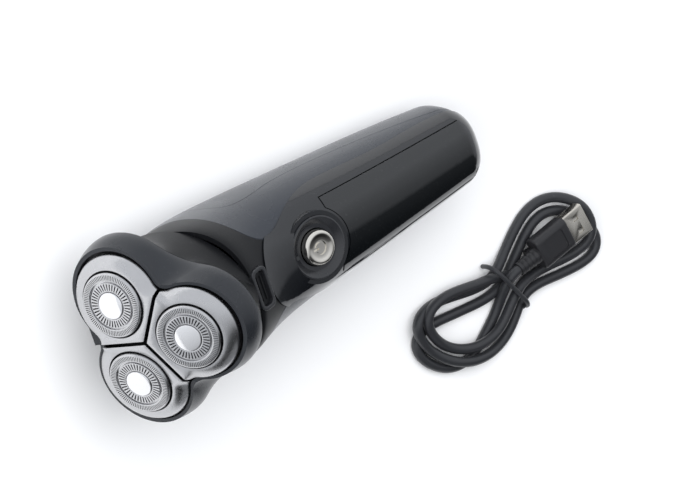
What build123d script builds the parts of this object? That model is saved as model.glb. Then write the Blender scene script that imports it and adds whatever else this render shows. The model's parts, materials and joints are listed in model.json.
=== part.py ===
from build123d import *
import os
from math import cos, pi, radians, sin, sqrt, tan

os.makedirs("parts", exist_ok=True)

# Rotary shaver with three floating cutters, lying on its back, and its charging cable.
# X runs across the shaver, Y from the head to the tail, Z up through the button.
# The origin is the middle of the flat rest face on the back. Millimetres.

# ---------------------------------------------------------------- driving sizes
WALL = 2.0               # handle shells
SEAM = 0.25              # visible joint line between two shells
CLEAR = 0.35             # room round a piece that moves
RUN_FIT = 0.05           # radial room round a pin or shaft
SECTION_POWER = 2.4      # how square the handle's section is

HEAD_TILT = 29.0         # head face leans this far up from square to the handle
HEAD_Y = -92.0
HEAD_Z = 52.0
CUTTER_PITCH = 29.0      # between neighbouring cutters
CUTTER_SPLAY = 7.0       # each cutter leans outwards

FOIL_RADIUS = 11.5
FOIL_SKIN = 0.45
CAP_RADIUS = 4.75
PLATE_LOBE = 16.5        # lobe radius of the metal plates
PLATE_WAIST = 19.4       # head centre to the plates' waist
PLATE_SKIN = 1.1
PLATE_GAP = 1.3          # between two plates
FLOAT_TRAVEL = 1.5       # a unit presses in this far

RIM_LOBE = 19.3          # widest outline of the black head rim
RIM_WAIST = 25.7
RIM_BOTTOM = -16.0       # heights in the head are from the foils' faces
BASE_BOTTOM = -30.7
COLLAR_RADIUS = 25.5
BASE_LOBE = 11.0         # lobe radius where the head's lower housing meets the neck
NECK_END = -31.0

PINION_TEETH = 15
GEAR_TEETH = 28
GEAR_AT = 15.6           # head centre to a gear's axis
SPINDLE_RADIUS = 1.8

BUTTON_Y = -19.0
BUTTON_TILT = 4.0
BUTTON_RADIUS = 6.3
RING_RADIUS = 11.0
BUTTON_TRAVEL = 1.0

BATTERY_DIAMETER = 14.2
BATTERY_LENGTH = 50.0
MOTOR_RADIUS = 11.5
MOTOR_LENGTH = 29.0
SHAFT_RADIUS = 1.0

RELEASE_WIDTH = 11.6
RELEASE_HEIGHT = 4.2

CORD_DIAMETER = 3.8

# ---------------------------------------------------------------- frames of the head
TILT = radians(HEAD_TILT)
SPLAY = radians(CUTTER_SPLAY)
LOBE_AT = CUTTER_PITCH / sqrt(3)
HEAD = Plane(origin=(0, HEAD_Y, HEAD_Z), x_dir=(1, 0, 0), z_dir=(0, -cos(TILT), sin(TILT)))
UNIT_ANGLES = {"a": 210, "b": 90, "c": 330}


def head_point(x, y, z):
    """A point of the head's own frame, in the shaver's frame."""
    return HEAD.from_local_coords(Vector(x, y, z))


def head_direction(x, y, z):
    """A direction of the head's own frame, in the shaver's frame."""
    return head_point(x, y, z) - head_point(0, 0, 0)


def head_level(height):
    """The plane across the head at a height from the foils' faces."""
    return HEAD.offset(height)


def unit_plane(angle):
    """The face of one cutter: local y points away from the head's centre."""
    out_x, out_y = cos(radians(angle)), sin(radians(angle))
    return Plane(
        origin=head_point(LOBE_AT * out_x, LOBE_AT * out_y, 0),
        x_dir=head_direction(out_y, -out_x, 0),
        z_dir=head_direction(sin(SPLAY) * out_x, sin(SPLAY) * out_y, cos(SPLAY)),
    )


UNITS = {name: unit_plane(angle) for name, angle in UNIT_ANGLES.items()}


# ---------------------------------------------------------------- shared shapes
def polar(radius, angle):
    """A flat point at a radius and an angle in degrees."""
    return Vector(radius * cos(radians(angle)), radius * sin(radians(angle)))


def lobed_face(plane, lobe, waist):
    """Three lobes round the head's centre, joined by hollow or bulging arcs that touch them smoothly."""
    hollow = (waist**2 - LOBE_AT * waist + LOBE_AT**2 - lobe**2) / (2 * lobe + LOBE_AT - 2 * waist)
    facing = 1 if hollow > 0 else -1
    with BuildSketch(plane) as face:
        with BuildLine():
            for angle in UNIT_ANGLES.values():
                middle = polar(LOBE_AT, angle)
                following = polar(LOBE_AT, angle + 120)
                towards = (polar(waist + hollow, angle + 60) - middle).normalized() * facing
                mirrored = (polar(waist + hollow, angle - 60) - middle).normalized() * facing
                onward = (polar(waist + hollow, angle + 60) - following).normalized() * facing
                ThreePointArc(middle + mirrored * lobe, polar(LOBE_AT + lobe, angle), middle + towards * lobe)
                ThreePointArc(middle + towards * lobe, polar(waist, angle + 60), following + onward * lobe)
        make_face()
    return face.sketch


def lobed_block(low, high, lobe, waist):
    """The lobed outline carried from one height in the head to another."""
    with BuildPart() as block:
        add(lobed_face(head_level(low), lobe, waist))
        extrude(amount=high - low, dir=HEAD.z_dir)
    return block.part


def revolved(plane, outline):
    """A solid turned about the plane's normal, from (radius, height) points."""
    side = Plane(origin=plane.origin, x_dir=plane.x_dir, z_dir=-plane.y_dir)
    with BuildPart() as turned:
        with BuildSketch(side):
            with BuildLine():
                Polyline(*outline, close=True)
            make_face()
        revolve(axis=Axis(plane.origin, plane.z_dir))
    return turned.part


HANDLE_END = 64.0        # tail face
TAIL_ROUND = 10.0        # rounding of the tail
# The handle's sections: middle of the section, lean, half width and half height.
SECTIONS = [
    (-64.3, 38.0, HEAD_TILT, 25.5, 26.0),
    (-48.0, 30.9, 11.0, 24.4, 26.4),
    (-30.0, 26.5, 3.0, 22.2, 25.6),
    (-12.0, 24.6, 0.0, 20.6, 24.9),
    (6.0, 23.2, 0.0, 19.2, 23.7),
    (24.0, 21.8, 0.0, 17.8, 21.9),
    (42.0, 20.7, 0.0, 16.3, 19.5),
    (HANDLE_END, 19.6, 0.0, 14.2, 16.0),
]
SECTION_POINTS = 20


def section_outline(half_width, half_height):
    """Points round a section, between an ellipse and a rounded rectangle."""
    points = []
    for step in range(SECTION_POINTS):
        turn = 2 * pi * step / SECTION_POINTS
        side, rise = cos(turn), sin(turn)
        reach = (abs(side) ** SECTION_POWER + abs(rise) ** SECTION_POWER) ** (-1 / SECTION_POWER)
        points.append((half_width * reach * side, half_height * reach * rise))
    return points


def handle_form(inset, mouth=0.0):
    """The handle's outside, moved in by inset all round, and drawn out past its mouth."""
    with BuildPart() as form:
        for y, z, lean, half_width, half_height in SECTIONS:
            way = Vector(0, -cos(radians(lean)), sin(radians(lean)))
            middle = Vector(0, y, z)
            if y == SECTIONS[0][0]:
                middle += way * mouth
            if y == HANDLE_END:
                middle += way * inset
            with BuildSketch(Plane(origin=middle, x_dir=(1, 0, 0), z_dir=way)):
                with BuildLine():
                    Spline(*section_outline(half_width - inset, half_height - inset), periodic=True)
                make_face()
        loft()
        fillet(form.faces().sort_by(Axis.Y)[-1].edges(), TAIL_ROUND - inset)
    return form.part


PROUD = 0.5              # the front panel stands out this far
STRIP_PROUD = 0.8        # and its strip this far
outer_form = handle_form(0)
proud_form = handle_form(-PROUD)
strip_form = handle_form(-STRIP_PROUD)
pocket_form = handle_form(0.3)
inner_form = handle_form(WALL, mouth=1.0)


def finish_piece(piece, name):
    """Label a finished piece and write its file."""
    piece.label = name
    export_step(piece, f"parts/{name}.step")


# ---------------------------------------------------------------- seams of the handle
# Seen from the side: y towards the tail, z up.
UPPER_SEAM = [(-82, 11), (-62, 12), (-54, 15.5), (-47, 24), (-40, 34.5), (-32, 34), (-19, 28.5),
              (-5, 25.2), (15, 24), (35, 24.6), (50, 25.6), (70, 26.5)]
LOWER_SEAM = [(-82, 25), (-66, 25.5), (-58, 29), (-51, 42), (-43, 52), (-35, 51), (-24, 45.2),
              (-11, 39), (3, 36.8), (25, 34.2), (45, 30.2), (58, 28.8), (70, 28.8)]
PANEL_NOSE = [(16.4, -24), (15.3, -32), (12.6, -38.5), (7.4, -42.8), (0, -44.3)]
FAR = 90


def band_between(low_curve, high_curve, low_shift, high_shift):
    """A block across the handle between two seam curves, or past all of it where one is None."""
    low = [(y, z + low_shift) for y, z in low_curve] if low_curve else [(-FAR, -FAR), (FAR, -FAR)]
    high = [(y, z + high_shift) for y, z in high_curve] if high_curve else [(-FAR, FAR), (FAR, FAR)]
    with BuildPart() as block:
        with BuildSketch(Plane.YZ):
            with BuildLine():
                low_line = Spline(*low) if low_curve else Line(*low)
                high_line = Spline(*high) if high_curve else Line(*high)
                Line(low_line @ 0, high_line @ 0)
                Line(low_line @ 1, high_line @ 1)
            make_face()
        extrude(amount=FAR / 2, both=True)
    return block.part


def nose_block(grow):
    """The panel's outline from above: a round nose that opens out to the whole width."""
    right = [(x + grow, y) for x, y in PANEL_NOSE[:-1]]
    tip = (0, PANEL_NOSE[-1][1] - grow)
    left = [(-x, y) for x, y in reversed(right)]
    with BuildPart() as block:
        with BuildSketch(Plane.XY):
            with BuildLine():
                Spline(*right, tip, *left)
                Polyline(left[-1], (-FAR, left[-1][1]), (-FAR, FAR), (FAR, FAR), (FAR, right[0][1]), right[0])
            make_face()
        extrude(amount=FAR)
    return block.part


below_upper = band_between(None, UPPER_SEAM, 0, 0)
side_block = band_between(UPPER_SEAM, LOWER_SEAM, SEAM, 0)
above_lower = band_between(LOWER_SEAM, None, SEAM, 0)
panel_nose = nose_block(0)
cleared_nose = nose_block(SEAM)

BUTTON = Plane(
    origin=(0, BUTTON_Y, 50.2),
    x_dir=(1, 0, 0),
    z_dir=(0, sin(radians(BUTTON_TILT)), cos(radians(BUTTON_TILT))),
)
RELEASE = Plane(origin=(0, -48.4, 59.2), x_dir=(1, 0, 0), z_dir=(0, 0.33, 0.944))
TRAY_BOTTOM = 8.0
TRAY_TOP = 10.0
BOARD_BOTTOM = 34.0
BOARD_THICKNESS = 1.6
SCREW_SPOTS = [(-6, -22), (6, -22), (-6, 39.5), (6, 39.5)]
SOCKET_Z = 20.0

# ---------------------------------------------------------------- back shell
screw_bosses = []
for x, y in SCREW_SPOTS:
    with BuildPart() as boss:
        with BuildSketch(Plane.XY):
            with Locations((x, y)):
                Circle(2.8)
        extrude(amount=TRAY_BOTTOM)
    screw_bosses.append(boss.part & outer_form)

with BuildPart() as back_shell:
    add(outer_form)
    add(inner_form, mode=Mode.SUBTRACT)
    add(below_upper, mode=Mode.INTERSECT)
    for boss in screw_bosses:
        add(boss)
    with BuildSketch(Plane.XY.offset(TRAY_TOP - 5)):
        with Locations(*SCREW_SPOTS):
            Circle(0.9)
    extrude(amount=6, mode=Mode.SUBTRACT)
    with BuildSketch(Plane.XY.offset(-5)):
        Rectangle(FAR, 2 * FAR)
    extrude(amount=5, mode=Mode.SUBTRACT)
    with BuildSketch(Plane.XZ.offset(-66)):
        with Locations((0, SOCKET_Z)):
            SlotOverall(9.6, 6.4)
    extrude(amount=8, mode=Mode.SUBTRACT)
finish_piece(back_shell.part, "back_shell")

# ---------------------------------------------------------------- side band
with BuildPart() as side_band:
    add(outer_form)
    add(inner_form, mode=Mode.SUBTRACT)
    add(side_block, mode=Mode.INTERSECT)
finish_piece(side_band.part, "side_band")

# ---------------------------------------------------------------- neck shell
with BuildPart() as neck_shell:
    add(outer_form)
    add(inner_form, mode=Mode.SUBTRACT)
    add(above_lower, mode=Mode.INTERSECT)
    add(cleared_nose, mode=Mode.SUBTRACT)
    with BuildSketch(RELEASE.offset(-8)):
        RectangleRounded(RELEASE_WIDTH + 3.6, RELEASE_HEIGHT + 3.6, 2.6)
    extrude(amount=16, mode=Mode.SUBTRACT)
finish_piece(neck_shell.part, "neck_shell")

# ---------------------------------------------------------------- front panel and its gloss strip
STRIP_HALF = 14.2
STRIP_START = -7.0
STRIP_END = 57.0
BOSS_RADIUS = RING_RADIUS + 1.6


def strip_outline(grow):
    """The strip from above, clear of the button's boss."""
    with BuildPart() as block:
        with BuildSketch(Plane.XY.offset(25)):
            with BuildLine():
                Polyline(
                    (-STRIP_HALF - grow, STRIP_START - 9 - grow),
                    (-STRIP_HALF + 3.6 - grow, STRIP_END + grow),
                    (STRIP_HALF - 3.6 + grow, STRIP_END + grow),
                    (STRIP_HALF + grow, STRIP_START - 9 - grow),
                    close=True,
                )
            make_face()
            with Locations((0, BUTTON_Y)):
                Circle(BOSS_RADIUS + 1.2 - grow, mode=Mode.SUBTRACT)
                Rectangle(40, 2 * (STRIP_START - 3 - BUTTON_Y) - 2 * grow, mode=Mode.SUBTRACT)
        extrude(amount=50)
    return block.part


with BuildPart() as front_panel:
    add(proud_form)
    add(inner_form, mode=Mode.SUBTRACT)
    add(above_lower, mode=Mode.INTERSECT)
    add(panel_nose, mode=Mode.INTERSECT)
    with BuildSketch(BUTTON.offset(-6)):
        Circle(BOSS_RADIUS)
    extrude(amount=6.2)
    add((strip_outline(0.2) & strip_form) - pocket_form, mode=Mode.SUBTRACT)
    with BuildSketch(BUTTON.offset(-20)):
        Circle(RING_RADIUS + 0.1)
    extrude(amount=40, mode=Mode.SUBTRACT)
finish_piece(front_panel.part, "front_panel")

with BuildPart() as panel_strip:
    add((strip_outline(0) & strip_form) - pocket_form)
finish_piece(panel_strip.part, "panel_strip")


# ---------------------------------------------------------------- button group
BUTTON_BORE = BUTTON_RADIUS + CLEAR
with BuildPart() as button_ring:
    add(revolved(BUTTON, [(BUTTON_BORE, -3.5), (RING_RADIUS, -3.5), (RING_RADIUS, 0.7), (RING_RADIUS - 0.5, 0.9),
                          (RING_RADIUS - 0.9, 0.7), (BUTTON_BORE + 1.4, -0.7), (BUTTON_BORE, -0.8)]))
    with BuildSketch(BUTTON.offset(-4)):
        with Locations((0, -(BUTTON_BORE + RING_RADIUS) / 2)):
            Circle(0.8)
    extrude(amount=8, mode=Mode.SUBTRACT)
finish_piece(button_ring.part, "button_ring")

with BuildPart() as status_led:
    with BuildSketch(BUTTON.offset(-3.4)):
        with Locations((0, -(BUTTON_BORE + RING_RADIUS) / 2)):
            Circle(0.75)
    extrude(amount=3.4)
finish_piece(status_led.part, "status_led")

SWITCH_TOP = 43.0
STEM_BOTTOM = SWITCH_TOP + BUTTON_TRAVEL + 0.3 - BUTTON.origin.Z
with BuildPart() as power_button:
    add(revolved(BUTTON, [(0, -2.6), (BUTTON_RADIUS, -2.6), (BUTTON_RADIUS, 1.3), (BUTTON_RADIUS - 0.8, 2.1),
                          (BUTTON_RADIUS - 1.6, 2.1), (BUTTON_RADIUS - 2.2, 1.7), (0, 1.9)]))
    with BuildSketch(BUTTON.offset(STEM_BOTTOM)):
        Circle(1.6)
    extrude(amount=-STEM_BOTTOM - 2.6)
finish_piece(power_button.part, "power_button")

# ---------------------------------------------------------------- inside the handle
BATTERY_START = -8.0
BATTERY_Z = TRAY_TOP + BATTERY_DIAMETER / 2 + 0.2
with BuildPart() as handle_tray:
    with BuildSketch(Plane.XY.offset(TRAY_BOTTOM)):
        with Locations((0, 8.5)):
            RectangleRounded(17, 67, 3)
        with Locations(*SCREW_SPOTS):
            Circle(1.1, mode=Mode.SUBTRACT)
    extrude(amount=TRAY_TOP - TRAY_BOTTOM)
    with BuildSketch(Plane.XY.offset(TRAY_TOP)):
        with Locations((0, BATTERY_START - 1.5), (0, BATTERY_START + BATTERY_LENGTH + 1.5)):
            Rectangle(12, 2)
    extrude(amount=BOARD_BOTTOM - TRAY_TOP - 0.1)
finish_piece(handle_tray.part, "handle_tray")

with BuildPart() as battery_cell:
    with BuildSketch(Plane(origin=(0, BATTERY_START, BATTERY_Z), z_dir=(0, 1, 0))):
        Circle(BATTERY_DIAMETER / 2)
    extrude(amount=BATTERY_LENGTH - 1.2)
    with BuildSketch(Plane(origin=(0, BATTERY_START + BATTERY_LENGTH - 1.2, BATTERY_Z), z_dir=(0, 1, 0))):
        Circle(2.6)
    extrude(amount=1.2)
finish_piece(battery_cell.part, "battery_cell")

with BuildPart() as circuit_board:
    with BuildSketch(Plane.XY.offset(BOARD_BOTTOM)):
        with Locations((0, 7)):
            Rectangle(15, 70)
    extrude(amount=BOARD_THICKNESS)
finish_piece(circuit_board.part, "circuit_board")

with BuildPart() as push_switch:
    with BuildSketch(Plane.XY.offset(BOARD_BOTTOM + BOARD_THICKNESS)):
        with Locations((0, BUTTON_Y)):
            Rectangle(6, 6)
    extrude(amount=4)
    with BuildSketch(Plane.XY.offset(BOARD_BOTTOM + BOARD_THICKNESS + 4)):
        with Locations((0, BUTTON_Y)):
            Circle(1.7)
    extrude(amount=SWITCH_TOP - BOARD_BOTTOM - BOARD_THICKNESS - 4)
finish_piece(push_switch.part, "push_switch")

with BuildPart() as tray_screws:
    for x, y in SCREW_SPOTS:
        with BuildSketch(Plane.XY.offset(TRAY_TOP - 4.5)):
            with Locations((x, y)):
                Circle(0.88)
        extrude(amount=4.5)
        with BuildSketch(Plane.XY.offset(TRAY_TOP)):
            with Locations((x, y)):
                Circle(1.7)
        extrude(amount=1.2)
finish_piece(tray_screws.part, "tray_screws")

with BuildPart() as charging_socket:
    with BuildSketch(Plane.XZ.offset(-55)):
        with Locations((0, SOCKET_Z)):
            SlotOverall(9.2, 6.0)
    extrude(amount=-8.4)
    with BuildSketch(Plane.XZ.offset(-57)):
        with Locations((0, SOCKET_Z)):
            SlotOverall(7.4, 4.2)
    extrude(amount=-8, mode=Mode.SUBTRACT)
finish_piece(charging_socket.part, "charging_socket")

with BuildPart() as socket_pins:
    with BuildSketch(Plane.XZ.offset(-57)):
        with Locations((-1.8, SOCKET_Z), (1.8, SOCKET_Z)):
            Circle(0.6)
    extrude(amount=-5)
finish_piece(socket_pins.part, "socket_pins")

# ---------------------------------------------------------------- motor
MOTOR_TOP = -29.0
with BuildPart() as motor_can:
    add(revolved(HEAD, [(SHAFT_RADIUS + RUN_FIT, MOTOR_TOP), (MOTOR_RADIUS, MOTOR_TOP),
                        (MOTOR_RADIUS, MOTOR_TOP - MOTOR_LENGTH), (0, MOTOR_TOP - MOTOR_LENGTH),
                        (0, MOTOR_TOP - MOTOR_LENGTH + 1.5), (MOTOR_RADIUS - 1, MOTOR_TOP - MOTOR_LENGTH + 1.5),
                        (MOTOR_RADIUS - 1, MOTOR_TOP - 1.5), (SHAFT_RADIUS + RUN_FIT, MOTOR_TOP - 1.5)]))
finish_piece(motor_can.part, "motor_can")

GEAR_LOW, GEAR_HIGH = -25.4, -22.4
with BuildPart() as motor_rotor:
    add(revolved(HEAD, [(0, MOTOR_TOP - MOTOR_LENGTH + 2), (SHAFT_RADIUS, MOTOR_TOP - MOTOR_LENGTH + 2),
                        (SHAFT_RADIUS, MOTOR_TOP - MOTOR_LENGTH + 4), (MOTOR_RADIUS - 2, MOTOR_TOP - MOTOR_LENGTH + 4),
                        (MOTOR_RADIUS - 2, MOTOR_TOP - 4), (SHAFT_RADIUS, MOTOR_TOP - 4),
                        (SHAFT_RADIUS, GEAR_LOW - 0.3), (0, GEAR_LOW - 0.3)]))
finish_piece(motor_rotor.part, "motor_rotor")

# ---------------------------------------------------------------- gears
GEAR_MODULE = 2 * GEAR_AT / (PINION_TEETH + GEAR_TEETH)


def toothed_outline(teeth, turned):
    """Points round a gear whose first tooth stands at the angle turned, in degrees."""
    pitch_radius = GEAR_MODULE * teeth / 2
    root, tip = pitch_radius - 1.15 * GEAR_MODULE, pitch_radius + 0.8 * GEAR_MODULE
    points = []
    for tooth in range(teeth):
        for share, radius in ((-0.27, root), (-0.1, tip), (0.1, tip), (0.27, root)):
            angle = radians(turned + (tooth + share) * 360 / teeth)
            points.append((radius * cos(angle), radius * sin(angle)))
    return points


with BuildPart() as drive_pinion:
    with BuildSketch(head_level(GEAR_LOW - 0.3)):
        with BuildLine():
            Polyline(*toothed_outline(PINION_TEETH, 90), close=True)
        make_face()
    extrude(amount=GEAR_HIGH - GEAR_LOW + 0.6)
finish_piece(drive_pinion.part, "drive_pinion")

BASE_FLOOR = -26.0
SPINDLE_TIP = -6.0
for name, angle in UNIT_ANGLES.items():
    gear_x, gear_y = GEAR_AT * cos(radians(angle)), GEAR_AT * sin(radians(angle))
    gear_axis = Plane(origin=head_point(gear_x, gear_y, 0), x_dir=(1, 0, 0), z_dir=HEAD.z_dir)
    with BuildPart() as drive_gear:
        with BuildSketch(gear_axis.offset(GEAR_LOW)):
            with BuildLine():
                Polyline(*toothed_outline(GEAR_TEETH, angle + 180 + 180 / GEAR_TEETH), close=True)
            make_face()
            Circle(SPINDLE_RADIUS, mode=Mode.SUBTRACT)
        extrude(amount=GEAR_HIGH - GEAR_LOW)
    finish_piece(drive_gear.part, f"drive_gear_{name}")
    with BuildPart() as spindle:
        add(revolved(gear_axis, [(0, BASE_FLOOR - 1.5), (1, BASE_FLOOR - 1.5), (1, GEAR_LOW - 0.2),
                                 (SPINDLE_RADIUS, GEAR_LOW - 0.2), (SPINDLE_RADIUS, SPINDLE_TIP - 3.5),
                                 (1.4, SPINDLE_TIP - 2.8), (1.4, SPINDLE_TIP - 0.4), (1, SPINDLE_TIP), (0, SPINDLE_TIP)]))
    finish_piece(spindle.part, f"spindle_{name}")

# ---------------------------------------------------------------- head base
HINGE_F = -28.2          # hinge line, in the head's own frame
HINGE_Z = -18.2
HINGE_RADIUS = 1.8
PIN_RADIUS = 0.8
EAR_OUT, EAR_IN = 8.5, 5.0
HINGE = Plane(origin=head_point(0, HINGE_F, HINGE_Z), x_dir=head_direction(0, 1, 0), z_dir=(1, 0, 0))
HATCH_TOP = RIM_BOTTOM - 0.3

with BuildPart() as head_base:
    add(lobed_face(head_level(HATCH_TOP), RIM_LOBE - 0.2, RIM_WAIST - 0.1))
    add(lobed_face(head_level(BASE_BOTTOM), BASE_LOBE, COLLAR_RADIUS))
    loft()
    add(lobed_face(head_level(HATCH_TOP + 0.1), 17.4, 23.6))
    add(lobed_face(head_level(BASE_FLOOR), 11.5, 18.4))
    loft(mode=Mode.SUBTRACT)
    with BuildSketch(head_level(BASE_FLOOR)):
        Circle(COLLAR_RADIUS - 1.6)
    extrude(amount=20, mode=Mode.SUBTRACT)
    with BuildSketch(head_level(BASE_BOTTOM)):
        Circle(COLLAR_RADIUS - 1.6)
    extrude(amount=2.2, mode=Mode.SUBTRACT)
    with BuildSketch(head_level(BASE_BOTTOM)):
        Circle(SHAFT_RADIUS + 5)
    extrude(amount=10, mode=Mode.SUBTRACT)
    with BuildSketch(head_level(BASE_FLOOR)):
        with PolarLocations(GEAR_AT, 3, start_angle=90):
            Circle(1 + RUN_FIT)
    extrude(amount=-1.6, mode=Mode.SUBTRACT)
    for side in (1, -1):
        with BuildSketch(HINGE.offset(side * EAR_IN)):
            Circle(HINGE_RADIUS)
            with Locations((HINGE_RADIUS, -0.9)):
                Rectangle(2 * HINGE_RADIUS, 2 * HINGE_RADIUS - 1.8)
        extrude(amount=side * (EAR_OUT - EAR_IN))
    with BuildSketch(HINGE):
        Circle(PIN_RADIUS)
    extrude(amount=EAR_OUT + 1, both=True, mode=Mode.SUBTRACT)
finish_piece(head_base.part, "head_base")

with BuildPart() as hinge_pin:
    with BuildSketch(HINGE):
        Circle(PIN_RADIUS)
    extrude(amount=EAR_OUT, both=True)
finish_piece(hinge_pin.part, "hinge_pin")

COVER_LOW, COVER_HIGH = -21.6, -20.4
with BuildPart() as gear_cover:
    with BuildSketch(head_level(COVER_LOW)):
        with PolarLocations(GEAR_AT, 3, start_angle=90):
            Circle(12.0)
        Circle(18.0)
        with PolarLocations(GEAR_AT, 3, start_angle=90):
            Circle(SPINDLE_RADIUS + RUN_FIT, mode=Mode.SUBTRACT)
    extrude(amount=COVER_HIGH - COVER_LOW)
    with BuildSketch(head_level(BASE_FLOOR)):
        with PolarLocations(16.5, 3, start_angle=30):
            Circle(1.4)
    extrude(amount=COVER_LOW - BASE_FLOOR)
finish_piece(gear_cover.part, "gear_cover")

with BuildPart() as neck_seal:
    add(revolved(HEAD, [(19.5, BASE_BOTTOM - 1.2), (22.2, BASE_BOTTOM - 1.2), (22.2, BASE_BOTTOM + 1),
                        (19.5, BASE_BOTTOM + 1)]))
finish_piece(neck_seal.part, "neck_seal")

# ---------------------------------------------------------------- head frame
OPENING_LOBE = PLATE_LOBE + CLEAR
OPENING_WAIST = PLATE_WAIST + CLEAR
CARRIER_LOBE = 17.6
CARRIER_WAIST = 21.0
CAGE_TOP = -11.7
CAGE_BOTTOM = -13.3

with BuildPart() as head_rim:
    add(lobed_face(head_level(RIM_BOTTOM), RIM_LOBE, RIM_WAIST))
    add(lobed_face(head_level(-11), 19.1, 24.6))
    add(lobed_face(head_level(-7), 18.2, 22.4))
    add(lobed_face(head_level(-2.5), 17.4, 20.6))
    loft()
    add(lobed_block(RIM_BOTTOM - 1, 4, OPENING_LOBE, OPENING_WAIST), mode=Mode.SUBTRACT)
    add(lobed_block(RIM_BOTTOM - 1, CAGE_TOP, CARRIER_LOBE + 0.1, CARRIER_WAIST + 0.1), mode=Mode.SUBTRACT)
    for name, angle in UNIT_ANGLES.items():
        with BuildSketch(UNITS[name].offset(-5)):
            with BuildLine():
                Polyline((0, -LOBE_AT), (60, -LOBE_AT + 60 * tan(radians(30))),
                         (60, 60), (-60, 60), (-60, -LOBE_AT + 60 * tan(radians(30))), close=True)
            make_face()
        extrude(amount=12, mode=Mode.SUBTRACT)
    with BuildSketch(HINGE):
        Circle(HINGE_RADIUS)
    extrude(amount=EAR_IN - CLEAR, both=True)
    with BuildSketch(HINGE):
        with Locations((0.9, 3.6)):
            Rectangle(5.0, 3.0)
        with Locations((-0.6, 1.6)):
            Rectangle(2.0, 3.2)
    extrude(amount=EAR_IN - CLEAR, both=True)
    with BuildSketch(HINGE):
        Circle(PIN_RADIUS + RUN_FIT)
    extrude(amount=EAR_OUT, both=True, mode=Mode.SUBTRACT)
finish_piece(head_rim.part, "head_rim")

with BuildPart() as unit_carrier:
    add(lobed_block(CAGE_BOTTOM, CAGE_TOP - 0.05, CARRIER_LOBE, CARRIER_WAIST))
    with BuildSketch(head_level(CAGE_BOTTOM)):
        with PolarLocations(15.3, 3, start_angle=90):
            Circle(9)
    extrude(amount=4, mode=Mode.SUBTRACT)
    with BuildSketch(head_level(CAGE_BOTTOM - 6)):
        with Locations((0, 28.4)):
            Rectangle(8, 1.8)
    extrude(amount=6)
    with BuildSketch(head_level(CAGE_BOTTOM - 6)):
        with Locations((0, 29.2)):
            Rectangle(8, 2.4)
    extrude(amount=1.4)
finish_piece(unit_carrier.part, "unit_carrier")

# ---------------------------------------------------------------- floating units and cutters
def sector_block(angle, low, high):
    """A third of the head, set back from its neighbours by half a gap."""
    start = polar(PLATE_GAP / 2 / sin(radians(60)), angle)
    corners = [start + polar(90, angle + turn) for turn in (-60, 0, 60)]
    with BuildPart() as block:
        with BuildSketch(head_level(low)):
            with BuildLine():
                Polyline(start, *corners, close=True)
            make_face()
        extrude(amount=high - low, dir=HEAD.z_dir)
    return block.part


plates_prism = lobed_block(-16, 4, PLATE_LOBE, PLATE_WAIST)

PLATE_TOP = -0.9
HOLE_RADIUS = FOIL_RADIUS + 0.5
DOME = [(13.2, PLATE_TOP), (15.0, PLATE_TOP - 0.5), (16.3, PLATE_TOP - 1.7), (17.2, PLATE_TOP - 3.6), (18.6, PLATE_TOP - 4.6)]
for name in UNITS:
    face = UNITS[name]
    below = [(radius - 0.9, height - PLATE_SKIN) for radius, height in reversed(DOME)]
    skin = revolved(face, [(HOLE_RADIUS, PLATE_TOP), *DOME, (18.6, -6.8), (17.7, -6.8), *below,
                           (HOLE_RADIUS, PLATE_TOP - PLATE_SKIN)])
    with BuildPart() as plate:
        add(skin)
        add(plates_prism, mode=Mode.INTERSECT)
        add(sector_block(UNIT_ANGLES[name], -16, 4), mode=Mode.INTERSECT)
    finish_piece(plate.part, f"plate_{name}")

    with BuildPart() as foil:
        add(revolved(face, [(CAP_RADIUS + 0.15, 0), (7.9, 0), (7.95, -0.8), (8.55, -0.8), (8.6, 0), (10.9, 0),
                            (FOIL_RADIUS, -0.5), (FOIL_RADIUS, -2.2), (13.0, -2.2), (13.0, -2.9),
                            (FOIL_RADIUS - 0.5, -2.9), (FOIL_RADIUS - 0.5, -0.7), (10.7, -FOIL_SKIN),
                            (8.9, -FOIL_SKIN), (8.85, -1.25), (7.65, -1.25), (7.6, -FOIL_SKIN),
                            (CAP_RADIUS + 0.15, -FOIL_SKIN)]))
        with BuildSketch(face.offset(-0.7)):
            with PolarLocations(9.85, 45):
                Rectangle(1.9, 0.5)
            with PolarLocations(6.35, 30):
                Rectangle(2.1, 0.5)
        extrude(amount=1.4, mode=Mode.SUBTRACT)
    finish_piece(foil.part, f"foil_{name}")

    with BuildPart() as cap:
        add(revolved(face, [(0, -0.5), (CAP_RADIUS, -0.5), (CAP_RADIUS, 0.1), (CAP_RADIUS - 0.5, 0.3), (0, 0.4)]))
    finish_piece(cap.part, f"cap_{name}")

    with BuildPart() as retainer:
        add(revolved(face, [(11.8, -3.1), (13.0, -3.1), (13.0, -7.5), (9.6, -7.5), (9.6, -6.5), (11.8, -6.5)]))
    finish_piece(retainer.part, f"retainer_{name}")

    with BuildPart() as cutter:
        add(revolved(face, [(2.7, -7.4), (3.7, -7.4), (3.7, -5.0), (10.6, -5.0), (10.6, -4.0), (3.7, -4.0),
                            (3.7, -1.8), (0, -1.8), (0, -3.0), (2.7, -3.0)]))
        with BuildSketch(face.offset(-4.1)):
            with PolarLocations(7.95, 12):
                Rectangle(4.9, 0.8)
        extrude(amount=2.4)
        with BuildSketch(face.offset(-1.8)):
            with PolarLocations(9.7, 12):
                Rectangle(1.4, 0.8)
            with PolarLocations(6.35, 12):
                Rectangle(1.7, 0.8)
        extrude(amount=1.05)
    finish_piece(cutter.part, f"cutter_{name}")

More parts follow.
